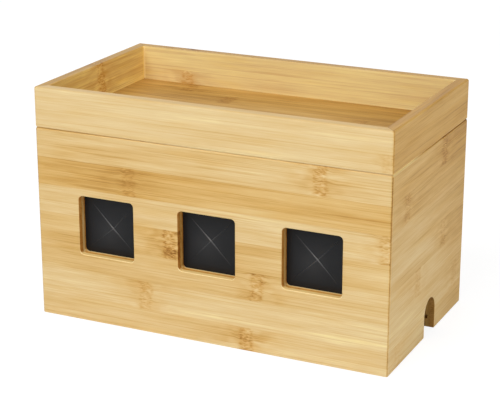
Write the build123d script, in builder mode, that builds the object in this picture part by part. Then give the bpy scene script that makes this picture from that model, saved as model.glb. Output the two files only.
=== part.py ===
from build123d import *
import os

# Cable management box of bamboo board, with slit rubber windows and a tray for a lid. Millimetres.
# Origin: middle of the footprint, on the surface that the box stands on. +X is right, +Y back, +Z up.

# Body: four boards, mitred at the corners
box_width = 300.0
box_depth = 170.0
body_height = 157.0
board = 9.0  # thickness of the body's boards
edge_round = 1.8  # upright outer corners of body and lid, and the outer edge of the lid's rim
foot_ease = 0.8  # outer edges at the foot of the body
seam_ease = 1.5  # outer edges on both sides of the seam between body and lid
mouth_ease = 0.6  # inner edge of the body's mouth

# Windows in the front board
window_names = ["left", "middle", "right"]
window_pitch = 88.0
window_size = 49.0
window_height = 81.0  # centre of the windows above the foot
window_corner = 3.5
window_ease = 0.5

# Cable notches, one in each side board, open at the foot
notch_width = 24.0
notch_height = 30.0
notch_setback = 8.0  # centre of the notches behind the middle of the box
notch_ease = 0.4

# Base panel, held in a groove round the inside of the body
base_thickness = 3.0
base_lift = 7.0  # underside of the panel above the foot
groove_depth = 3.2
base_play = 0.4  # room for the panel above it and beyond its edges
cutaway_depth = 14.0  # how far the panel is cut back from the side board at a notch
cutaway_margin = 5.0  # how much wider than the notch the panel is cut away, on each side
cutaway_corner = 4.0

# Rubber sheets behind the windows, each slit along the diagonals of a square into four flaps
sheet_size = 62.0
sheet_thickness = 1.2
sheet_corner = 4.0
slit_square = 36.0
slit_gap = 0.3
fold_gap = 0.15  # between a flap's rounded fold and the sheet round it
fold_end_gap = 0.8  # between the end of a fold and the corner of the square

# Lid: four mitred rails round a tray floor that lies in a rabbet
lid_height = 33.0
rail = 9.0  # thickness of the rails
rim_inner_round = 1.0
floor_thickness = 4.0
rabbet_width = 4.5
floor_play = 0.2

# Battens under the tray floor, which centre the lid in the mouth of the body
batten_width = 8.0
batten_height = 9.0
batten_play = 1.0
batten_lead = 2.0  # chamfer that leads the lid in

inner_width = box_width - 2 * board
inner_depth = box_depth - 2 * board
tray_width = box_width - 2 * rail
tray_depth = box_depth - 2 * rail
sides = ["front", "back", "left", "right"]


def frame(foot, height, wall):
    """Adds four walls round the footprint, from foot upwards."""
    with BuildSketch(Plane.XY.offset(foot)) as plan:
        RectangleRounded(box_width, box_depth, edge_round)
        Rectangle(box_width - 2 * wall, box_depth - 2 * wall, mode=Mode.SUBTRACT)
    extrude(to_extrude=plan.sketch, amount=height)


def trench(foot, height, width, depth):
    """Cuts a groove or rabbet of that height into the inside of the walls, out to width by depth."""
    with BuildSketch(Plane.XY.offset(foot)) as plan:
        Rectangle(width, depth)
    extrude(to_extrude=plan.sketch, amount=height, mode=Mode.SUBTRACT)


def ease_outside(which, radius):
    """Rounds the outer edges of the frame's lowest (0) or highest (-1) face."""
    fillet(faces().sort_by(Axis.Z)[which].outer_wire().edges(), radius)


def ease_inside(which, radius):
    """Rounds the inner edges of the frame's lowest (0) or highest (-1) face."""
    fillet(faces().sort_by(Axis.Z)[which].inner_wires().edges(), radius)


def keep_side(side, foot, height, wall):
    """Keeps one wall of the frame, cut off at 45 degrees at both of its corners."""
    out = wall
    inn = 2 * wall
    far_x = box_width / 2 + out
    far_y = box_depth / 2 + out
    near_x = box_width / 2 - inn
    near_y = box_depth / 2 - inn
    outlines = {
        "front": [(-far_x, -far_y), (far_x, -far_y), (near_x, -near_y), (-near_x, -near_y)],
        "back": [(far_x, far_y), (-far_x, far_y), (-near_x, near_y), (near_x, near_y)],
        "left": [(-far_x, far_y), (-far_x, -far_y), (-near_x, -near_y), (-near_x, near_y)],
        "right": [(far_x, -far_y), (far_x, far_y), (near_x, near_y), (near_x, -near_y)],
    }
    with BuildSketch(Plane.XY.offset(foot)) as wedge:
        with BuildLine():
            Polyline(*outlines[side], close=True)
        make_face()
    extrude(to_extrude=wedge.sketch, amount=height, mode=Mode.INTERSECT)


def body_board(side):
    """Adds one board of the body, with its share of the groove for the base panel."""
    frame(0, body_height, board)
    ease_outside(0, foot_ease)
    ease_outside(-1, seam_ease)
    ease_inside(-1, mouth_ease)
    trench(
        base_lift,
        base_thickness + base_play,
        inner_width + 2 * groove_depth,
        inner_depth + 2 * groove_depth,
    )
    keep_side(side, 0, body_height, board)


def cut_notch(which):
    """Cuts a side board's cable notch, an arch, and eases its edge on the first (0) or last (-1) face."""
    radius = notch_width / 2
    straight = notch_height - radius
    with BuildSketch(Plane.YZ) as arch:
        with Locations((notch_setback, straight)):
            Circle(radius)
        with Locations((notch_setback, 0)):
            Rectangle(notch_width, 2 * straight)
    extrude(to_extrude=arch.sketch, amount=box_width, both=True, mode=Mode.SUBTRACT)
    outer_face = faces().sort_by(Axis.X)[which]
    fillet(outer_face.edges().filter_by(GeomType.CIRCLE), notch_ease)


# ---------------------------------------------------------------- body

with BuildPart() as front_panel:
    body_board("front")
    with BuildSketch(Plane.XZ.offset(box_depth / 2)):
        with Locations((0, window_height)):
            with GridLocations(window_pitch, 0, len(window_names), 1):
                RectangleRounded(window_size, window_size, window_corner)
    extrude(amount=-board, mode=Mode.SUBTRACT)
    fillet(faces().sort_by(Axis.Y)[0].inner_wires().edges(), window_ease)

with BuildPart() as back_panel:
    body_board("back")

with BuildPart() as left_side_panel:
    body_board("left")
    cut_notch(0)

with BuildPart() as right_side_panel:
    body_board("right")
    cut_notch(-1)

with BuildPart() as base_panel:
    tongue = groove_depth - base_play
    with BuildSketch(Plane.XY.offset(base_lift)):
        Rectangle(inner_width + 2 * tongue, inner_depth + 2 * tongue)
        with Locations((0, notch_setback)):
            with GridLocations(inner_width + 2 * tongue, 0, 2, 1):
                RectangleRounded(
                    2 * (cutaway_depth + tongue),
                    notch_width + 2 * cutaway_margin,
                    cutaway_corner,
                    mode=Mode.SUBTRACT,
                )
    extrude(amount=base_thickness)

# ---------------------------------------------------------------- slit rubber sheets

sheet_front = box_depth / 2 - board  # distance of the sheets' front face from the middle of the box
flap_turns = {"lower": 0, "right": 90, "upper": 180, "left": 270}


def slit_sheet(place):
    """A square rubber sheet behind the window at x = place, with a square hole for its four flaps."""
    hole = slit_square + sheet_thickness + 2 * fold_gap
    with BuildPart() as sheet:
        with BuildSketch(Plane.XZ.offset(sheet_front)):
            with Locations((place, window_height)):
                RectangleRounded(sheet_size, sheet_size, sheet_corner)
                Rectangle(hole, hole, mode=Mode.SUBTRACT)
        extrude(amount=-sheet_thickness)
    return sheet.part


def slit_flap(place, turn):
    """One of the four triangles between the slits, rounded along its fold, turned about the window."""
    fold = -slit_square / 2  # the fold lies this far from the window's centre
    end = slit_square / 2 - fold_end_gap
    slit = slit_gap / 2**0.5  # how far the slit's edge is shifted along the sheet's own axis
    middle = (place, -sheet_front + sheet_thickness / 2, window_height)
    sheet_plane = Plane(origin=middle, x_dir=(1, 0, 0), z_dir=(0, -1, 0)).rotated((0, -turn, 0))
    fold_plane = Plane(origin=sheet_plane.from_local_coords((-end, fold, 0)), z_dir=sheet_plane.x_dir)
    with BuildPart() as flap:
        with BuildSketch(sheet_plane):
            with BuildLine():
                Polyline(
                    (-end, fold),
                    (end, fold),
                    (end, -end - slit),
                    (0, -slit),
                    (-end, -end - slit),
                    close=True,
                )
            make_face()
        extrude(amount=sheet_thickness / 2, both=True)
        with BuildSketch(fold_plane):
            Circle(sheet_thickness / 2)
        extrude(amount=2 * end)
    return flap.part


rubber = {}
for number, name in enumerate(window_names):
    place = (number - (len(window_names) - 1) / 2) * window_pitch
    rubber[f"{name}_sheet"] = slit_sheet(place)
    for flap_name, turn in flap_turns.items():
        rubber[f"{name}_sheet_{flap_name}_flap"] = slit_flap(place, turn)

# ---------------------------------------------------------------- lid

lid_rails = {}
for side in sides:
    with BuildPart() as lid_rail:
        frame(body_height, lid_height, rail)
        ease_outside(0, seam_ease)
        ease_outside(-1, edge_round)
        ease_inside(-1, rim_inner_round)
        trench(body_height, floor_thickness, tray_width + 2 * rabbet_width, tray_depth + 2 * rabbet_width)
        keep_side(side, body_height, lid_height, rail)
    lid_rails[f"lid_{side}_rail"] = lid_rail.part

with BuildPart() as tray_floor:
    lap = rabbet_width - floor_play
    with BuildSketch(Plane.XY.offset(body_height)):
        Rectangle(tray_width + 2 * lap, tray_depth + 2 * lap)
    extrude(amount=floor_thickness)


def batten(length, place, turn):
    """A batten under the tray floor, with a chamfer on its lower edge at the body's wall."""
    under_floor = Plane.XY.offset(body_height).rotated((0, 0, turn))
    outward = Axis((0, 0, 0), -under_floor.y_dir)
    with BuildPart() as strip:
        with BuildSketch(under_floor):
            with Locations((0, -place)):
                Rectangle(length, batten_width)
        extrude(amount=-batten_height)
        chamfer(edges().group_by(Axis.Z)[0].sort_by(outward)[-1], batten_lead)
    return strip.part


long_place = inner_depth / 2 - batten_play - batten_width / 2
short_place = inner_width / 2 - batten_play - batten_width / 2
long_batten = inner_width - 2 * batten_play
short_batten = inner_depth - 2 * (batten_play + batten_width)
battens = {
    "front_batten": batten(long_batten, long_place, 0),
    "right_batten": batten(short_batten, short_place, 90),
    "back_batten": batten(long_batten, long_place, 180),
    "left_batten": batten(short_batten, short_place, 270),
}

# ---------------------------------------------------------------- files

front_panel.part.label = "front_panel"
back_panel.part.label = "back_panel"
left_side_panel.part.label = "left_side_panel"
right_side_panel.part.label = "right_side_panel"
base_panel.part.label = "base_panel"
tray_floor.part.label = "tray_floor"

os.makedirs("parts", exist_ok=True)
for piece in [front_panel, back_panel, left_side_panel, right_side_panel, base_panel, tray_floor]:
    export_step(piece.part, f"parts/{piece.part.label}.step")
for group in [rubber, lid_rails, battens]:
    for name, solid in group.items():
        solid.label = name
        export_step(solid, f"parts/{name}.step")
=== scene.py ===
import math

import bpy
import numpy as np
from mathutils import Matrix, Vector


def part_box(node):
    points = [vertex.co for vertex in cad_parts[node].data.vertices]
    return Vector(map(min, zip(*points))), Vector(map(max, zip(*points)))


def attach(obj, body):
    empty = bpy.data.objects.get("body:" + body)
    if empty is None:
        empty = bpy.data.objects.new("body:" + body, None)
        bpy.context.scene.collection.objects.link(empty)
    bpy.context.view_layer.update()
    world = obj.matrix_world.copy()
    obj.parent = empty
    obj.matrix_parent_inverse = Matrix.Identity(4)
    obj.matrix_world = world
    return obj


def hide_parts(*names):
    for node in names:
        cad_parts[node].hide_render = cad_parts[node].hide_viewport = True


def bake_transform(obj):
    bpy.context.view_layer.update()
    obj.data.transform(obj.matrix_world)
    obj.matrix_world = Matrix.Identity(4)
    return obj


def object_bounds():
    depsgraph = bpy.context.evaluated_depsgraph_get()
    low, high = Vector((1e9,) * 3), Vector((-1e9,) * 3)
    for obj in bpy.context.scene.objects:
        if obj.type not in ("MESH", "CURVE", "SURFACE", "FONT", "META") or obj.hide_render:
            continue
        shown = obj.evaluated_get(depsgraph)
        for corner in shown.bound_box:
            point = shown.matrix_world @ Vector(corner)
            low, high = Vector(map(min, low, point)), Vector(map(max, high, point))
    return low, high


# Cable management box of bamboo board, with slit rubber windows and a tray for a lid. Metres, apart from
# the bamboo, whose sizes are in millimetres.
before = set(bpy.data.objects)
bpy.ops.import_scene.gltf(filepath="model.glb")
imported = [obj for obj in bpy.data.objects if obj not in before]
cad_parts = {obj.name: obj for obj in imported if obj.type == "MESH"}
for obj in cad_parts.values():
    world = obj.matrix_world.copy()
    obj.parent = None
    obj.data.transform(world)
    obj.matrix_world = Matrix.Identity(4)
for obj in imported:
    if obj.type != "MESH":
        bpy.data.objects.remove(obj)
cad_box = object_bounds()

# ---------------------------------------------------------------- boards of the body
# Four 9 mm boards of three-ply bamboo, mitred, glued, sanded and thinly lacquered. The outer and inner
# plies are flat strips 23 mm wide that run round the box, and each strip shows the knuckles of its cane.
# The core ply is laid upright, and shows only on cut edges.

millimetres = 1000.0
strip_width = 22.9
board_thickness = 9.0
board_ply = 3.0
outer_extra = 1.3  # the outer ply is this much thicker than the core ply, and the inner one thinner
first_body_joint = 19.0  # the lowest strip of the body is cut down to this
relief_height = 0.0001  # metres
relief_share = 0.25
lacquer_gloss = 0.25
lacquer_roughness = 0.5


def screen_colour(red, green, blue):
    """The linear colour, with alpha, of a colour given as 0 to 255 the way a screen shows it."""
    shares = [value / 255 for value in (red, green, blue)]
    linear = [share / 12.92 if share <= 0.04045 else ((share + 0.055) / 1.055) ** 2.4 for share in shares]
    return (*linear, 1.0)


def new_material(name):
    """An empty node material, and its tree."""
    made = bpy.data.materials.new(name)
    made.use_nodes = True
    made.node_tree.nodes.clear()
    return made, made.node_tree


def add_node(tree, kind, sockets=(), **settings):
    """Adds a shader node, and gives each socket named or numbered in sockets a value or a link."""
    made = tree.nodes.new("ShaderNode" + kind)
    for name, value in settings.items():
        setattr(made, name, value)
    for socket, value in dict(sockets).items():
        if isinstance(value, bpy.types.NodeSocket):
            tree.links.new(value, made.inputs[socket])
        else:
            made.inputs[socket].default_value = value
    return made


def work_out(tree, operation, *values, clamp=False):
    """One Math node, such as work_out(tree, "MINIMUM", a, b)."""
    return add_node(tree, "Math", enumerate(values), operation=operation, use_clamp=clamp).outputs[0]


def plus(tree, first, second):
    """The sum of two values."""
    return work_out(tree, "ADD", first, second)


def minus(tree, first, second):
    """first less second."""
    return work_out(tree, "SUBTRACT", first, second)


def times(tree, first, second):
    """The product of two values."""
    return work_out(tree, "MULTIPLY", first, second)


def weighted_sum(tree, start, parts):
    """start plus each part times its weight."""
    total = start
    for part, weight in parts:
        total = plus(tree, total, times(tree, part, weight))
    return total


def rise(tree, value, low, high, start=0.0, end=1.0):
    """A smooth step: start where value is below low, end where it is above high."""
    sockets = {0: value, 1: low, 2: high, 3: start, 4: end}
    return add_node(tree, "MapRange", sockets, interpolation_type="SMOOTHSTEP").outputs[0]


def fall(tree, value, low, high, start=1.0):
    """The other way round: start where value is below low, 0 where it is above high."""
    return rise(tree, value, low, high, start, 0.0)


def bell(tree, offset, width):
    """e to the power of minus (offset / width) squared."""
    share = work_out(tree, "DIVIDE", offset, width)
    return work_out(tree, "EXPONENT", times(tree, times(tree, share, share), -1.0))


def blend_values(tree, share, first, second):
    """first where share is 0, second where it is 1."""
    return add_node(tree, "Mix", {0: share, 2: first, 3: second}, data_type="FLOAT").outputs[0]


def tint(tree, share, colour, cast):
    """colour where share is 0, and colour multiplied by cast where it is 1."""
    sockets = {0: share, 6: colour, 7: cast}
    return add_node(tree, "Mix", sockets, data_type="RGBA", blend_type="MULTIPLY").outputs[2]


def mottle(tree, place, sizes, detail=2.0, twist=0.0):
    """Noise from 0 to 1. place is how far along the board, into it and up it, sizes are how large the
    blotches are in each of these directions, and they curl by twist."""
    parts = [work_out(tree, "DIVIDE", part, size) for part, size in zip(place, sizes)]
    scaled = add_node(tree, "CombineXYZ", enumerate(parts)).outputs[0]
    sockets = {"Vector": scaled, "Scale": 1.0, "Detail": detail, "Distortion": twist}
    return add_node(tree, "TexNoise", sockets).outputs["Fac"]


def fill_ramp(ramp, stops):
    """Gives a colour ramp its stops, each a position from 0 to 1 and a colour."""
    while len(ramp.elements) < len(stops):
        ramp.elements.new(0.5)
    for element, (position, colour) in zip(ramp.elements, stops):
        element.position = position
        element.color = colour


def new_group(name, inputs):
    """An empty shader node group with float inputs, apart from Place and Facing, which are vectors."""
    group = bpy.data.node_groups.new(name, "ShaderNodeTree")
    for socket in inputs:
        kind = "NodeSocketVector" if socket in ("Place", "Facing") else "NodeSocketFloat"
        group.interface.new_socket(socket, in_out="INPUT", socket_type=kind)
    return group, group.nodes.new("NodeGroupInput").outputs


def put_out(group, outputs):
    """Gives a group its outputs, floats apart from Colour, and links each to what it puts out."""
    for socket in outputs:
        kind = "NodeSocketColor" if socket == "Colour" else "NodeSocketFloat"
        group.interface.new_socket(socket, in_out="OUTPUT", socket_type=kind)
    result = group.nodes.new("NodeGroupOutput").inputs
    for socket, value in outputs.items():
        group.links.new(value, result[socket])


def make_lay_up():
    """The group that turns a place on a board into a place on one strip of one of its plies, and finds the
    board's edges, mitres and seam. Place is how far along the board, into it and up it a point lies, and
    Facing is the way its surface faces there, in the same directions."""
    board_inputs = ["Place", "Facing", "Length", "Width", "Ply", "Strip", "First joint"]
    seam_inputs = ["Seam", "Seam near", "Seam far"]
    group, given = new_group("bamboo_lay_up", board_inputs + seam_inputs)
    place = add_node(group, "SeparateXYZ", {0: given["Place"]}).outputs
    along, depth, across = [times(group, place[axis], millimetres) for axis in range(3)]
    facing = add_node(group, "SeparateXYZ", {0: given["Facing"]}).outputs
    facing_along = work_out(group, "ABSOLUTE", facing[0])
    facing_across = work_out(group, "ABSOLUTE", facing[2])

    # The inner ply is the outer one turned over, and the core ply is turned upright.
    core_depth = minus(group, depth, outer_extra)
    ply_number = work_out(group, "FLOOR", work_out(group, "DIVIDE", core_depth, given["Ply"]))
    core = work_out(group, "COMPARE", ply_number, 1.0, 0.5)
    inner = work_out(group, "GREATER_THAN", ply_number, 1.5)
    along_turned = blend_values(group, inner, along, minus(group, given["Length"], along))
    across_turned = blend_values(group, inner, across, minus(group, given["Width"], across))
    ply_along = blend_values(group, core, along_turned, across)
    ply_across = blend_values(group, core, across_turned, along)
    end_on = blend_values(group, core, facing_along, facing_across)
    strips_up = work_out(group, "DIVIDE", minus(group, ply_across, given["First joint"]), given["Strip"])
    to_joint = work_out(group, "PINGPONG", strips_up, 0.5)

    # Glue in the mitres, a thin dark line across the edges, with painted light at the corners: a broad
    # painted shade on the outer corner that grows darker with height, and a painted highlight in the inner
    # corner
    from_end = work_out(group, "MINIMUM", along, minus(group, given["Length"], along))
    to_mitre = work_out(group, "ABSOLUTE", minus(group, from_end, depth))
    thin = fall(group, to_mitre, 0.1, 0.45)
    short_of_inner_corner = fall(group, depth, board_thickness - 1.4, board_thickness - 0.8, 0.7)
    broad_shade = fall(group, to_mitre, 0.6, 1.7)
    at_corner = fall(group, depth, 0.8, 1.5, 0.8)
    height_share = work_out(group, "DIVIDE", across, given["Width"])
    corner_shade_strength = plus(group, times(group, height_share, 0.5), 0.12)
    painted_corner_shade = times(group, times(group, broad_shade, at_corner), corner_shade_strength)
    glue_and_corner_shade = work_out(group, "MAXIMUM", times(group, thin, short_of_inner_corner), painted_corner_shade)
    at_inner_corner = rise(group, depth, board_thickness - 0.5, board_thickness - 0.1, 0.0, -0.7)
    painted_corner_highlight = times(group, fall(group, to_mitre, 0.6, 1.9), at_inner_corner)
    mitre_glue_and_light = plus(group, glue_and_corner_shade, painted_corner_highlight)

    # The groove where lid and body meet: a thin line of painted shade, or, where the share is below 0, a
    # broader painted light that evens out the groove's own shading. The share changes from one end of the
    # board to the other, and only the outer face has the line.
    to_seam = work_out(group, "ABSOLUTE", minus(group, across, given["Seam"]))
    seam_place = work_out(group, "DIVIDE", along, given["Length"])
    seam_share = rise(group, seam_place, 0.2, 0.5, given["Seam near"], given["Seam far"])
    dark_share = work_out(group, "MAXIMUM", seam_share, 0.0)
    pale_share = work_out(group, "MINIMUM", seam_share, 0.0)
    painted_seam_shade = times(group, fall(group, to_seam, 0.15, 0.7), dark_share)
    painted_seam_light = times(group, fall(group, to_seam, 0.4, 1.8), pale_share)
    outer_face = fall(group, depth, 1.3, 1.7)
    painted_seam_lines = times(group, plus(group, painted_seam_shade, painted_seam_light), outer_face)

    # Edges within 3 mm of the seam lie in its groove, and keep the colour of the face. Elsewhere an eased
    # edge that faces up and out gets a painted highlight, as though lit from above. Where a surface faces out
    # of the board, the second part of Facing is below 0.
    beyond_seam = rise(group, to_seam, 3.0, 6.0)
    outward = times(group, facing[1], -2.0)
    up_and_out = work_out(group, "MULTIPLY", outward, facing[2], clamp=True)
    outputs = {
        "Along": ply_along,
        "Depth": depth,
        "Across": ply_across,
        "Strip place": work_out(group, "FRACT", work_out(group, "DIVIDE", ply_across, given["Width"])),
        "Joint": times(group, to_joint, given["Strip"]),
        "Cross cut": rise(group, facing_along, 0.3, 0.7),
        "Rip cut": times(group, rise(group, facing_across, 0.3, 0.7), beyond_seam),
        "End grain": rise(group, end_on, 0.6, 0.85),
        "Glue and painted light": plus(group, mitre_glue_and_light, painted_seam_lines),
        "Edge highlight": times(group, up_and_out, beyond_seam),
    }
    put_out(group, outputs)
    return group


def make_fibres():
    """The group that colours a strip: fibres, dark bundles, drifts of tone, and the knuckle across it."""
    board_inputs = ["Along", "Depth", "Across", "Joint", "End grain", "Glue and painted light", "Edge highlight"]
    strip_inputs = ["Tone", "Knuckle", "Warmth", "Strength", "Stain and shading", "Browning", "Figure"]
    group, given = new_group("bamboo_fibres", board_inputs + strip_inputs)
    along, depth, across = given["Along"], given["Depth"], given["Across"]
    straight = (along, depth, across)

    # The knuckle crosses the strip in a line that wanders, and the fibres swing aside where they pass it.
    wander = times(group, minus(group, mottle(group, straight, (400.0, 400.0, 5.0)), 0.5), 8.0)
    offset = plus(group, minus(group, along, given["Knuckle"]), wander)
    from_knuckle = work_out(group, "ABSOLUTE", offset)
    swing = minus(group, mottle(group, straight, (9.0, 9.0, 6.0), 1.0), 0.5)
    aside = times(group, times(group, swing, bell(group, offset, 11.0)), 7.0)
    swung = (along, depth, plus(group, across, aside))

    # Long drifts of tone, streaks, thin dark lines and the fine fibres of the cane
    drift = mottle(group, swung, (120.0, 9.0, 9.0))
    streaks = mottle(group, swung, (90.0, 2.0, 1.6))
    lines = rise(group, mottle(group, swung, (110.0, 3.0, 0.8), 0.0), 0.56, 0.7)
    hairs = mottle(group, swung, (18.0, 0.6, 0.4))
    centred_streaks = minus(group, streaks, 0.5)

    # The knuckle: short broken strokes between two faint ridges, and a patchy brown smear on both sides
    strokes = mottle(group, straight, (3.6, 2.5, 1.2), 1.0, 0.5)
    strength = times(group, given["Strength"], given["Figure"])
    here = times(group, fall(group, from_knuckle, 3.8, 7.5), strength)
    dark_strokes = times(group, fall(group, strokes, 0.32, 0.58), here)
    pale_strokes = times(group, rise(group, strokes, 0.54, 0.66), here)
    ridge = bell(group, minus(group, from_knuckle, 4.0), 1.3)
    dashes = rise(group, mottle(group, straight, (3.0, 1.4, 1.5), 1.0), 0.35, 0.6)
    ridges = times(group, times(group, ridge, dashes), here)
    patches = rise(group, mottle(group, straight, (16.0, 8.0, 7.0), 1.0), 0.35, 0.6)
    smear = times(group, times(group, bell(group, offset, 20.0), patches), strength)

    # The tone, from 0 for the darkest bamboo to 1 for the palest. 0.6 is plain bamboo.
    grain_weights = [
        (minus(group, drift, 0.5), 0.46),
        (centred_streaks, 0.27),
        (minus(group, hairs, 0.5), 0.3),
        (lines, -0.11),
    ]
    # Painted light and shade enter the tone here: painted shade and highlights at the mitres and in the seam
    # along with the glue, the painted edge highlight, and painted shade and light besides the cut edges'
    # darkening in the stain-and-shading input.
    weights = [
        (minus(group, given["Tone"], 0.5), 0.55),
        (ridges, -0.07),
        (dark_strokes, -0.22),
        (pale_strokes, 0.08),
        (here, -0.02),
        (smear, -0.2),
        (fall(group, given["Joint"], 0.1, 0.4), -0.08),
        (given["Glue and painted light"], -0.35),
        (given["Edge highlight"], 1.0),
        (given["Stain and shading"], -1.0),
    ]
    grain = times(group, weighted_sum(group, 0.0, grain_weights), given["Figure"])
    tone = weighted_sum(group, plus(group, 0.6, grain), weights)
    tones = add_node(group, "ValToRGB", {0: tone})
    cane_tones = [
        (0.0, screen_colour(112, 74, 30)),
        (0.22, screen_colour(171, 128, 62)),
        (0.42, screen_colour(203, 162, 92)),
        (0.58, screen_colour(218, 183, 121)),
        (0.76, screen_colour(228, 202, 150)),
        (0.92, screen_colour(246, 228, 168)),
        (1.0, screen_colour(255, 238, 186)),
    ]
    fill_ramp(tones.color_ramp, cane_tones)

    # Patches blush warmer, knuckles are browner, and cut ends drink the lacquer and turn golden brown.
    blush = rise(group, mottle(group, swung, (60.0, 9.0, 7.0), 1.0), 0.5, 0.75, 0.0, 0.15)
    warmth = work_out(group, "ADD", given["Warmth"], blush, clamp=True)
    warm = tint(group, warmth, tones.outputs[0], screen_colour(252, 231, 160))
    knuckle_share = weighted_sum(group, dark_strokes, [(here, 0.4), (smear, 0.5)])
    browning = work_out(group, "ADD", times(group, knuckle_share, 0.3), given["Browning"], clamp=True)
    browned = tint(group, browning, warm, screen_colour(251, 222, 176))
    soaked = tint(group, times(group, given["End grain"], 0.8), browned, screen_colour(214, 168, 76))
    rougher = [(centred_streaks, 0.2), (given["End grain"], 0.2)]
    relief = [(pale_strokes, 0.5), (dark_strokes, -1.0), (lines, -0.5), (hairs, -0.5)]
    outputs = {
        "Colour": soaked,
        "Roughness": weighted_sum(group, lacquer_roughness, rougher),
        "Height": weighted_sum(group, 0.0, relief),
    }
    put_out(group, outputs)
    return group


lay_up = make_lay_up()
fibres = make_fibres()
plain_looks = {
    "figure": 1.0,  # how marked the grain is
    "far end shading": 0.0,  # how much darker the board is painted towards its far end: painted shade where the light falls off, paler below 0
    "seam": -100.0,  # how high up the board the groove at the lid is: at no board's height
    "seam near": 0.0,  # how dark the painted shade in it is near the board's start, or, below 0, how pale the painted light there
    "seam far": 0.0,  # the same near its end
    "cross cut darkening": 0.0,  # how much darker the edges are that were cut across the length
    "cross cut dryness": 0.0,  # how much less lacquer their end grain drank
    "rip cut darkening": 0.0,  # how much darker the edges are that were cut along the length
    "rip cut warmth": 0.0,
    "rip cut browning": 0.0,
    "edge highlight": 0.0,  # how much paler an eased edge that faces up and out is painted: a painted highlight, as from light above
    "inside shading": 0.0,  # how much darker the inner face is painted; below 0 it is paler, painted light inside the tray
    # how much warmer the inner face is painted: painted warm bounce light inside the tray
    "inside bounce warmth": 0.0,
    "inside figure": 0.0,  # what the inner face adds to the figure
}


def bamboo(name, turn, place, length, width, ply, first_joint, strips, looks):
    """A board's bamboo. turn and place take the piece's coordinates to the board's length, depth and width.
    The first joint between two strips lies that high up its width. strips holds, for each strip from the
    edge at 0, its tone, its knuckle's place along it, how warm its colour is and how strong the knuckle.
    looks holds what differs from plain_looks."""
    look = {**plain_looks, **looks}
    made, tree = new_material(name)
    own = add_node(tree, "TexCoord").outputs
    lying = add_node(tree, "Mapping", {"Vector": own["Object"], "Location": place, "Rotation": turn})
    facing = add_node(tree, "Mapping", {"Vector": own["Normal"], "Rotation": turn}, vector_type="NORMAL")
    board_sockets = {
        "Place": lying.outputs[0],
        "Facing": facing.outputs[0],
        "Length": length,
        "Width": width,
        "Ply": ply,
        "Strip": strip_width,
        "First joint": first_joint,
        "Seam": look["seam"],
        "Seam near": look["seam near"],
        "Seam far": look["seam far"],
    }
    laid = add_node(tree, "Group", board_sockets, node_tree=lay_up).outputs

    # A ramp with steps serves as the list of strips.
    joints = [0.0] + [first_joint + strip_width * row for row in range(len(strips) - 1)]
    stops = [
        (joint / width, (tone, knuckle / length, warmth, strength))
        for joint, (tone, knuckle, warmth, strength) in zip(joints, strips)
    ]
    chosen = add_node(tree, "ValToRGB", {0: laid["Strip place"]})
    chosen.color_ramp.interpolation = "CONSTANT"
    fill_ramp(chosen.color_ramp, stops)
    tone, knuckle_share, warmth = add_node(tree, "SeparateColor", {0: chosen.outputs["Color"]}).outputs

    inner_face = rise(tree, laid["Depth"], board_thickness - 1.2, board_thickness - 0.4)
    far_end = rise(tree, laid["Along"], 0.35 * length, 1.05 * length)
    # The darkening of cut edges, with painted light and shade: the inner face is painted paler inside the
    # tray, and the far end is painted darker where the light falls off.
    stains_and_shading = [
        (laid["Cross cut"], look["cross cut darkening"]),
        (laid["Rip cut"], look["rip cut darkening"]),
        (inner_face, look["inside shading"]),
        (far_end, look["far end shading"]),
    ]
    warmer = [(laid["Rip cut"], look["rip cut warmth"]), (inner_face, look["inside bounce warmth"])]
    soak = minus(tree, 1.0, times(tree, laid["Cross cut"], look["cross cut dryness"]))
    wood_sockets = {
        "Along": laid["Along"],
        "Depth": laid["Depth"],
        "Across": laid["Across"],
        "Joint": laid["Joint"],
        "End grain": times(tree, laid["End grain"], soak),
        "Glue and painted light": laid["Glue and painted light"],
        "Edge highlight": times(tree, laid["Edge highlight"], look["edge highlight"]),
        "Tone": tone,
        "Knuckle": times(tree, knuckle_share, length),
        "Warmth": weighted_sum(tree, warmth, warmer),
        "Strength": chosen.outputs["Alpha"],
        "Stain and shading": weighted_sum(tree, 0.0, stains_and_shading),
        "Browning": times(tree, laid["Rip cut"], look["rip cut browning"]),
        "Figure": weighted_sum(tree, look["figure"], [(inner_face, look["inside figure"])]),
    }
    wood = add_node(tree, "Group", wood_sockets, node_tree=fibres).outputs
    relief = {"Height": wood["Height"], "Strength": relief_share, "Distance": relief_height}
    surface = {
        "Base Color": wood["Colour"],
        "Roughness": wood["Roughness"],
        "Normal": add_node(tree, "Bump", relief).outputs[0],
        "Specular IOR Level": lacquer_gloss,
    }
    shader = add_node(tree, "BsdfPrincipled", surface)
    add_node(tree, "OutputMaterial", {"Surface": shader.outputs[0]})
    return made


def finish_node(node, material):
    """Gives a CAD node its material in every slot."""
    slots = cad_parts[node].data.materials
    slots.clear()
    slots.append(material)


low, high = cad_box
box_width = (high.x - low.x) * millimetres
box_depth = (high.y - low.y) * millimetres
body_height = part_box("front_panel")[1].z * millimetres
half_width, half_depth = high.x, high.y
quarter = math.radians(90)
board_places = {  # a board's turn, place and length, each read from its outer face
    "front": ((0, 0, 0), (half_width, half_depth, 0), box_width),
    "back": ((0, 0, 2 * quarter), (half_width, half_depth, 0), box_width),
    "right": ((0, 0, -quarter), (half_depth, half_width, 0), box_depth),
    "left": ((0, 0, quarter), (half_depth, half_width, 0), box_depth),
}
body_nodes = {
    "front": "front_panel",
    "back": "back_panel",
    "right": "right_side_panel",
    "left": "left_side_panel",
}
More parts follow.
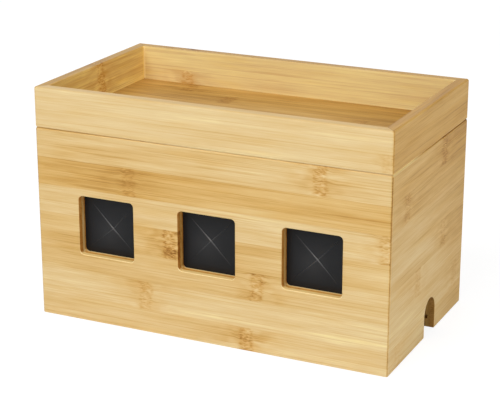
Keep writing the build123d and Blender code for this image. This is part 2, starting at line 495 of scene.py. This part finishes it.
# From the foot up, each strip's tone, its knuckle's place, its warmth and the knuckle's strength. A knuckle
# that lies beyond the board's end isn't seen.
body_strips = {
    "front": [
        (0.6, 184.0, 0.0, 0.75),
        (0.68, 96.0, 0.0, 0.55),
        (0.5, 193.0, 0.05, 0.6),
        (0.48, 118.0, 0.12, 1.0),
        (0.61, 297.0, 0.0, 0.55),
        (0.37, 83.0, 0.3, 0.32),
        (0.55, 244.0, 0.05, 0.7),
    ],
    "right": [
        (0.74, 20.0, 0.1, 0.3),
        (0.74, 150.0, 0.1, 0.3),
        (0.68, 62.0, 0.1, 0.4),
        (0.57, 118.0, 0.1, 0.45),
        (0.52, 400.0, 0.1, 0.2),
        (0.46, 33.0, 0.2, 0.4),
        (0.4, 115.0, 0.3, 0.55),
    ],
    "back": [
        (0.5, 70.0, 0.1, 0.4),
        (0.62, 211.0, 0.0, 0.3),
        (0.4, 145.0, 0.2, 0.5),
        (0.55, 34.0, 0.1, 0.4),
        (0.48, 262.0, 0.1, 0.5),
        (0.66, 120.0, 0.0, 0.3),
        (0.42, 190.0, 0.2, 0.5),
    ],
    "left": [
        (0.45, 120.0, 0.2, 0.4),
        (0.58, 40.0, 0.0, 0.4),
        (0.5, 300.0, 0.1, 0.3),
        (0.62, 96.0, 0.1, 0.5),
        (0.4, 150.0, 0.2, 0.4),
        (0.52, 22.0, 0.1, 0.4),
        (0.6, 300.0, 0.1, 0.3),
    ],
}
# How dark the painted shade in the groove at the lid is near each board's start and end, or, below 0, how
# pale the painted light there
seam_looks = {
    "front": {"seam near": 0.45, "seam far": -0.25},
    "back": {"seam near": 0.3, "seam far": 0.4},
    "right": {"seam near": -1.2, "seam far": 0.7},
    "left": {"seam near": 0.4, "seam far": 0.1},
}
side_cuts = {"cross cut darkening": 0.3, "cross cut dryness": 0.6, "rip cut darkening": 0.16, "edge highlight": 0.1}
# The front's sills are painted paler, painted light from above, and their eased edges get a strong painted
# highlight. The front is painted a little paler towards its right end, and the right board darker towards the
# back, painted shade where the light falls off.
body_looks = {
    "front": {
        "figure": 1.05,
        "far end shading": -0.07,
        "cross cut darkening": 0.12,
        "rip cut darkening": -0.42,
        "rip cut warmth": 0.1,
        "rip cut browning": 0.6,
        "edge highlight": 0.9,
    },
    "back": {"figure": 1.05, "edge highlight": 0.1},
    "right": {**side_cuts, "far end shading": 0.17},
    "left": side_cuts,
}
for side, node in body_nodes.items():
    turn, place, length = board_places[side]
    board = bamboo(
        name=f"bamboo_{side}",
        turn=turn,
        place=place,
        length=length,
        width=body_height,
        ply=board_ply,
        first_joint=first_body_joint,
        strips=body_strips[side],
        looks={**body_looks[side], **seam_looks[side], "seam": body_height},
    )
    finish_node(node, board)

# ---------------------------------------------------------------- base panel
# A 3 mm panel of bamboo with a single ply lies in a groove round the inside of the body, with room to
# swell, and is cut back at the cable notches. The power strip stands on it.

single_ply = 100.0  # thicker than any board, so that it is all outer ply
flat_turn = (quarter, 0, 0)  # length runs to the right, depth down and width to the back
base_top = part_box("base_panel")[1].z
base_material = bamboo(
    name="bamboo_base",
    turn=flat_turn,
    place=(half_width, base_top, half_depth),
    length=box_width,
    width=box_depth,
    ply=single_ply,
    first_joint=strip_width,
    strips=[(0.5, 40.0 + 30.0 * row, 0.1, 0.7) for row in range(8)],
    looks={},
)
finish_node("base_panel", base_material)

# ---------------------------------------------------------------- rubber sheets
# A 1.2 mm sheet of black rubber is glued behind each window. Two crossed cuts leave four triangular flaps,
# which give way to a plug and close round its cable. The cut edges stand a little proud and are paler than
# the skin, partly as raw rubber and partly as a painted highlight where they face the light, and a painted
# sheen makes the flaps paler near the crossing.

window_names = ["left", "middle", "right"]
sheet_half = 0.031
sheet_corner = 0.004
sheet_thickness = 0.0012
hole_corner = 0.0002
edge_ease = 0.03  # the share of the sheet's margin over which its outer edges are eased
cut_reach = 0.018  # the flaps' folds and the ends of the cuts lie this far from the window's middle
root_reach = 0.0195  # the flaps' roots go this far out, where they join the sheet
cut_gap = 0.00006
cut_round = 0.00025  # how far in from a cut its edge is rounded
cut_thinning = 0.12  # the share of the thickness that the rounding takes off
tip_half = 0.00006  # half the width of a flap's blunt tip
lip_height = 0.0001
lip_place = 0.0004  # from the cut
lip_width = 0.0003
pale_cut_width = 0.00018  # of the pale line along a cut: raw rubber and painted highlight
dull_side = 0.3  # how pale a cut is painted that doesn't catch the light
gap_growth = 12  # times the share of the way from the fold, up to 1: how open the cut's gap is
lip_growth = 6  # the same for the lip's height
pale_cut_growth = 8  # the same for the paleness of the cut
sharp_angle = math.radians(35)
rubbed_offset = (-0.0045, -0.003)  # a painted sheen makes the rubber paler here, where the flaps bow towards the light, from the crossing of the cuts
rubbed_reach = 0.011
rubbed_share = 0.72
rubber_roughness = 0.5
rubber_gloss = 0.34
pore_height = 0.00005
pore_share = 0.3


def rounded_square(half, corner, side_steps, corner_steps):
    """Points round a square of that half side: a quarter circle of radius corner and a straight run, turned
    by 90 degrees three times. Two such squares with the same steps match point for point."""
    turn = np.linspace(0.0, math.pi / 2, corner_steps, endpoint=False)
    arc = np.stack([half - corner + corner * np.cos(turn), half - corner + corner * np.sin(turn)], axis=1)
    run_x = np.linspace(half - corner, corner - half, side_steps, endpoint=False)
    run = np.stack([run_x, np.full(side_steps, half)], axis=1)
    side = np.concatenate([arc, run])
    turned = [side @ np.array([[c, s], [-s, c]]) for c, s in [(1, 0), (0, 1), (-1, 0), (0, -1)]]
    return np.concatenate(turned)


def loop_faces(rings, steps):
    """Quads between each ring of steps points and the next, each ring closed on itself."""
    ring, step = np.meshgrid(np.arange(rings - 1), np.arange(steps), indexing="ij")
    after = (step + 1) % steps
    quads = [ring * steps + step, ring * steps + after, (ring + 1) * steps + after, (ring + 1) * steps + step]
    return np.stack(quads, axis=-1).reshape(-1, 4)


def make_piece(name, points, faces, material):
    """A mesh object at the origin, from arrays of points and faces, smooth apart from its sharp edges. It
    keeps where each point lies at rest, so that the rubber's bloom and pores bend with it."""
    mesh = bpy.data.meshes.new(name)
    mesh.from_pydata(points.tolist(), [], [list(map(int, face)) for face in faces])
    mesh.polygons.foreach_set("use_smooth", np.full(len(mesh.polygons), True))
    mesh.set_sharp_from_angle(angle=sharp_angle)
    rest = mesh.attributes.new("rest_place", "FLOAT_VECTOR", "POINT")
    rest.data.foreach_set("vector", points.astype(np.float32).ravel())
    mesh.materials.append(material)
    piece = bpy.data.objects.new(name, mesh)
    bpy.context.scene.collection.objects.link(piece)
    return piece


def add_mask(piece, name, values):
    """Gives each point of a piece a value that its material reads by that name."""
    mask = piece.data.attributes.new(name, "FLOAT", "POINT")
    mask.data.foreach_set("value", values.astype(np.float32))


def blend_colours(tree, share, first, second):
    """first where share is 0, second where it is 1."""
    return add_node(tree, "Mix", {0: share, 6: first, 7: second}, data_type="RGBA").outputs[2]


def make_rubber():
    """Black rubber with a faint bloom, paler in a painted sheen near the crossing, and along the cuts, where
    raw rubber shows with a painted highlight.
    """
    made, tree = new_material("black_rubber")
    rest = add_node(tree, "Attribute", attribute_name="rest_place").outputs["Vector"]
    cut = add_node(tree, "Attribute", attribute_name="pale_cut_and_glint").outputs["Fac"]
    painted_sheen = add_node(tree, "Attribute", attribute_name="painted_sheen").outputs["Fac"]
    bloom = add_node(tree, "TexNoise", {"Vector": rest, "Scale": 60.0, "Detail": 3.0}).outputs["Fac"]
    pores = add_node(tree, "TexNoise", {"Vector": rest, "Scale": 2500.0, "Detail": 2.0}).outputs["Fac"]
    # The skin is paler in a painted sheen near the crossing, and the cuts' pale colour is raw rubber with a
    # painted highlight.
    skin = blend_colours(tree, bloom, screen_colour(9, 12, 17), screen_colour(16, 19, 24))
    rubbed = blend_colours(tree, painted_sheen, skin, screen_colour(41, 42, 44))
    relief = {"Height": pores, "Strength": pore_share, "Distance": pore_height}
    surface = {
        "Base Color": blend_colours(tree, cut, rubbed, screen_colour(150, 150, 150)),
        "Roughness": weighted_sum(tree, rubber_roughness, [(bloom, 0.16)]),
        "Normal": add_node(tree, "Bump", relief).outputs[0],
        "Specular IOR Level": rubber_gloss,
    }
    shader = add_node(tree, "BsdfPrincipled", surface)
    add_node(tree, "OutputMaterial", {"Surface": shader.outputs[0]})
    return made


def sheet_ring(place_x, place_z, front_y):
    """The sheet round the flaps: each point lies a share of the way from the square hole to the rounded
    outline, and a share of the thickness into the sheet. The profile is seven such pairs, the last of them
    the first again, so that it closes."""
    side_steps, corner_steps = 12, 4
    hole = rounded_square(root_reach, hole_corner, side_steps, corner_steps)
    outline = rounded_square(sheet_half, sheet_corner, side_steps, corner_steps)
    eased = 1.0 - edge_ease
    profile = [(0.0, 0.0), (eased, 0.0), (1.0, 0.2), (1.0, 0.8), (eased, 1.0), (0.0, 1.0), (0.0, 0.0)]
    rings = []
    for share, depth in profile:
        flat = hole + (outline - hole) * share
        level = np.full(len(flat), front_y + depth * sheet_thickness)
        rings.append(np.stack([place_x + flat[:, 0], level, place_z + flat[:, 1]], axis=1))
    points = np.concatenate(rings[:-1])
    faces = loop_faces(len(profile), len(hole)) % len(points)
    return points, faces


def flap_surface(middle, crossing, turn, curl, bright_side):
    """A flap, as rows from its root to its tip, which is the crossing of the cuts, and columns from one cut
    to the other and back behind. The share of the way that is left to the tip is the power 1.1 of 1 less a
    row's share, a row's half width is the way left less half the cut's gap, and its columns follow a sine,
    which crowds them at the cuts. Half the thickness is constant, apart from a rounded edge along each cut,
    and in front a low lip, a bell, follows the cut. The flap bows by curl times the square of the share of
    the way from fold to tip. Then come two masks: how pale its cuts are, raw rubber with a painted
    highlight, which falls off with the distance from them and is painted strongest on the bright side, and a
    painted sheen, a bell round a place near the crossing where the flap bows towards the light."""
    rows, columns = 28, 34
    from_root = 1 - (1 - np.linspace(0.0, 1.0, rows)[:, None]) ** 1.1
    spread = np.sin(np.linspace(-math.pi / 2, math.pi / 2, columns))[None, :]
    from_fold = np.clip((root_reach * from_root - (root_reach - cut_reach)) / cut_reach, 0.0, 1.0)
    opening = np.clip(from_fold * gap_growth, 0.0, 1.0)
    half_gap = cut_gap / math.sqrt(2) * opening
    half_across = np.maximum(root_reach * (1 - from_root) - half_gap, tip_half)
    across = half_across * spread
    to_cut = (half_across - np.abs(across)) / math.sqrt(2)
    near_cut = np.clip(1 - to_cut / cut_round, 0.0, 1.0) * opening
    half_thick = sheet_thickness / 2 * (1 - cut_thinning * near_cut**2)
    lip_shape = np.exp(-(((to_cut - lip_place) / lip_width) ** 2))
    lip = lip_height * lip_shape * np.clip(from_fold * lip_growth, 0.0, 1.0)
    bow = curl * from_fold**2
    front = middle.y - half_thick - lip - bow
    back = middle.y + half_thick - bow
    level = np.concatenate([front, back[:, ::-1]], axis=1)
    local_x = np.concatenate([across, across[:, ::-1]], axis=1)
    local_z = -root_reach * (1 - from_root)
    x = middle.x + local_x * math.cos(turn) - local_z * math.sin(turn) + crossing[0] * from_root
    z = middle.z + local_x * math.sin(turn) + local_z * math.cos(turn) + crossing[1] * from_root
    points = np.stack([x, level, z], axis=-1).reshape(-1, 3)
    steps = 2 * columns
    caps = [list(range(steps))[::-1], list(range((rows - 1) * steps, rows * steps))]
    faces = [list(face) for face in loop_faces(rows, steps)] + caps

    catches_light = np.where(spread * bright_side > 0, abs(bright_side), dull_side)
    towards_tip = np.clip(from_fold * pale_cut_growth, 0.0, 1.0) * (0.1 + 0.9 * from_fold**1.5)
    bare_and_glint = np.exp(-to_cut / pale_cut_width) * towards_tip * catches_light
    bare_and_glint_all_round = np.concatenate([bare_and_glint, bare_and_glint[:, ::-1]], axis=1).ravel()
    from_rubbed_x = points[:, 0] - (middle.x + crossing[0] + rubbed_offset[0])
    from_rubbed_z = points[:, 2] - (middle.z + crossing[1] + rubbed_offset[1])
    painted_sheen = rubbed_share * np.exp(-((np.hypot(from_rubbed_x, from_rubbed_z) / rubbed_reach) ** 2))
    return points, faces, bare_and_glint_all_round, painted_sheen


rubber = make_rubber()
crossings = {"left": (0.0016, -0.0021), "middle": (0.0, 0.0011), "right": (0.0011, -0.0002)}
flap_looks = {  # its turn, its curl outwards, and the side whose cut gets the stronger painted highlight
    "lower": (0.0, 0.0005, 0.75),
    "right": (quarter, -0.0005, 0.0),
    "upper": (2 * quarter, -0.0005, 0.0),
    "left": (3 * quarter, 0.0005, -1.0),
}
for name in window_names:
    sheet_low, sheet_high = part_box(f"{name}_sheet")
    middle = (sheet_low + sheet_high) / 2
    points, faces = sheet_ring(middle.x, middle.z, sheet_low.y)
    ring = make_piece(f"{name}_rubber_sheet", points, faces, rubber)
    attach(ring, "body")
    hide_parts(f"{name}_sheet")
    for flap, (turn, curl, bright_side) in flap_looks.items():
        node = f"{name}_sheet_{flap}_flap"
        points, faces, bare_and_glint, painted_sheen = flap_surface(middle, crossings[name], turn, curl, bright_side)
        piece = make_piece(f"{name}_rubber_{flap}_flap", points, faces, rubber)
        add_mask(piece, "pale_cut_and_glint", bare_and_glint)
        add_mask(piece, "painted_sheen", painted_sheen)
        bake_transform(piece)
        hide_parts(node)

# ---------------------------------------------------------------- lid rails
# Four rails of bamboo with a single ply, 9 mm thick, mitred and glued as the body's boards are, make the
# rim of the tray. A rabbet in their inner face takes the tray floor. Their top edges are a little darker.

lid_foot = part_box("lid_front_rail")[0].z
lid_height = (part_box("lid_front_rail")[1].z - lid_foot) * millimetres
first_rail_joint = 15.0
rail_strips = {  # the lower and the upper strip, as for the body
    "front": [(0.7, 297.0, 0.0, 0.4), (0.72, 500.0, 0.0, 0.5)],
    "right": [(0.28, 400.0, 0.4, 0.5), (0.3, 400.0, 0.4, 0.5)],
    "back": [(0.55, 249.0, 0.1, 1.0), (0.58, 400.0, 0.1, 0.5)],
    "left": [(0.5, 80.0, 0.15, 0.65), (0.48, 82.0, 0.15, 0.65)],
}
# The back and left rails' inner faces are painted paler and warmer: painted light and warm bounce light
# inside the tray.
rail_looks = {
    "front": {"figure": 0.75, "rip cut darkening": 0.1},
    "right": {"figure": 0.9, "rip cut darkening": 0.11, "edge highlight": 0.02},
    "back": {
        "figure": 0.75,
        "rip cut darkening": 0.27,
        "rip cut warmth": -0.1,
        "inside shading": -0.225,
        "inside bounce warmth": 0.15,
    },
    "left": {
        "figure": 0.9,
        "rip cut darkening": 0.22,
        "rip cut warmth": -0.1,
        "inside shading": -0.26,
        "inside bounce warmth": 0.6,
        "inside figure": 0.7,
    },
}
for side, strips in rail_strips.items():
    turn, (place_x, place_y, _), length = board_places[side]
    rail = bamboo(
        name=f"bamboo_{side}_rail",
        turn=turn,
        place=(place_x, place_y, -lid_foot),
        length=length,
        width=lid_height,
        ply=single_ply,
        first_joint=first_rail_joint,
        strips=strips,
        looks={**rail_looks[side], **seam_looks[side], "seam": 0.0},
    )
    finish_node(f"lid_{side}_rail", rail)

# ---------------------------------------------------------------- tray floor
# A 4 mm panel of darker bamboo, glued into the rabbet of the rails. Its strips run the length of the tray,
# and painted shade makes it a little darker towards the right.

tray_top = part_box("tray_floor")[1].z
tray_strips = [  # from the front
    (0.16, 212.0, 0.38, 0.3),
    (0.2, 92.0, 0.38, 0.35),
    (0.15, 256.0, 0.38, 0.3),
    (0.19, 143.0, 0.38, 0.35),
    (0.16, 231.0, 0.38, 0.3),
    (0.17, 107.0, 0.38, 0.4),
    (0.19, 60.0, 0.38, 0.4),
    (0.15, 180.0, 0.38, 0.3),
]
tray_material = bamboo(
    name="bamboo_tray",
    turn=flat_turn,
    place=(half_width, tray_top, half_depth),
    length=box_width,
    width=box_depth,
    ply=single_ply,
    first_joint=strip_width,
    strips=tray_strips,
    looks={"figure": 1.1, "far end shading": 0.09},
)
finish_node("tray_floor", tray_material)

# ---------------------------------------------------------------- battens
# Four strips glued under the tray floor, which drop into the mouth of the body and centre the lid. They are
# cut from the same bamboo as the floor, with the grain in line with it, and a chamfer leads them in.

for side in ["front", "back", "left", "right"]:
    finish_node(f"{side}_batten", tray_material)

# ---------------------------------------------------------------- studio
# A plain pale floor under three large soft lamps and a pale sky, with the camera at the box's front right.
# The camera sees a white veil over the floor outside the box, and everything else sees the floor bare.

bpy.ops.mesh.primitive_plane_add(size=40.0, location=(0, 0, -0.0002))
floor = bpy.context.object
floor.name = "studio_floor"
veil_share = 0.75
veil_glow = 1.15
veil_edge_x = half_width - 0.0088  # the veil ends under the boards, so the floor inside the box is bare
veil_edge_y = half_depth - 0.004
floor_colour = (0.92, 0.92, 0.92, 1)
white_light = (1, 1, 1, 1)
floor_paint, paint = new_material("studio_floor")
floor_place = add_node(paint, "SeparateXYZ", {0: add_node(paint, "TexCoord").outputs["Object"]}).outputs
beyond_x = work_out(paint, "GREATER_THAN", work_out(paint, "ABSOLUTE", floor_place[0]), veil_edge_x)
beyond_y = work_out(paint, "GREATER_THAN", work_out(paint, "ABSOLUTE", floor_place[1]), veil_edge_y)
outside_box = work_out(paint, "MAXIMUM", beyond_x, beyond_y)
camera_sees = times(paint, add_node(paint, "LightPath").outputs["Is Camera Ray"], outside_box)
bare_floor = add_node(paint, "BsdfDiffuse", {"Color": floor_colour}).outputs[0]
white = add_node(paint, "Emission", {"Color": white_light, "Strength": veil_glow}).outputs[0]
veil = add_node(paint, "MixShader", {0: times(paint, camera_sees, veil_share), 1: bare_floor, 2: white})
add_node(paint, "OutputMaterial", {"Surface": veil.outputs[0]})
floor.data.materials.append(floor_paint)

sky_light = 0.36
seen_sky = 0.74  # what the camera adds to it
mirrored_sky = 0.08  # what a reflection adds
world = bpy.data.worlds.new("studio")
bpy.context.scene.world = world
world.use_nodes = True
sky = world.node_tree
sky.nodes.clear()
rays = add_node(sky, "LightPath").outputs
added = [(rays["Is Camera Ray"], seen_sky), (rays["Is Glossy Ray"], mirrored_sky)]
sky_strength = weighted_sum(sky, sky_light, added)
sky_colour = add_node(sky, "Background", {"Color": white_light, "Strength": sky_strength})
add_node(sky, "OutputWorld", {"Surface": sky_colour.outputs[0]})

lamp_size = 1.6
lamp_aim = Vector((0, 0, 0.09))


def add_lamp(name, place, power):
    """A large square lamp, turned to the middle of the box."""
    light = bpy.data.lights.new(name, "AREA")
    light.size = lamp_size
    light.energy = power
    lamp = bpy.data.objects.new(name, light)
    bpy.context.scene.collection.objects.link(lamp)
    lamp.location = place
    lamp.rotation_mode = "QUATERNION"
    lamp.rotation_quaternion = (lamp_aim - Vector(place)).to_track_quat("-Z", "Y")


add_lamp("key_lamp", (-0.45, -1.9, 2.2), 49.0)
add_lamp("fill_lamp", (2.2, -0.6, 1.0), 16.5)
add_lamp("back_lamp", (-1.2, 2.2, 1.6), 10.0)

camera_turn = math.radians(25.36)
camera_rise = math.radians(18.77)
camera_distance = 1.2892
camera_target = Vector((-0.00306, 0, 0.0833))
level_share = math.cos(camera_rise)
to_right = math.sin(camera_turn) * level_share
to_front = math.cos(camera_turn) * level_share
backwards = Vector((to_right, -to_front, math.sin(camera_rise)))
camera_data = bpy.data.cameras.new("camera")
camera_data.sensor_width = 36.0
camera_data.lens = 114.5
camera = bpy.data.objects.new("camera", camera_data)
bpy.context.scene.collection.objects.link(camera)
camera.location = camera_target + backwards * camera_distance
camera.rotation_mode = "QUATERNION"
camera.rotation_quaternion = (-backwards).to_track_quat("-Z", "Y")
bpy.context.scene.camera = camera
bpy.context.scene.view_settings.view_transform = "Standard"
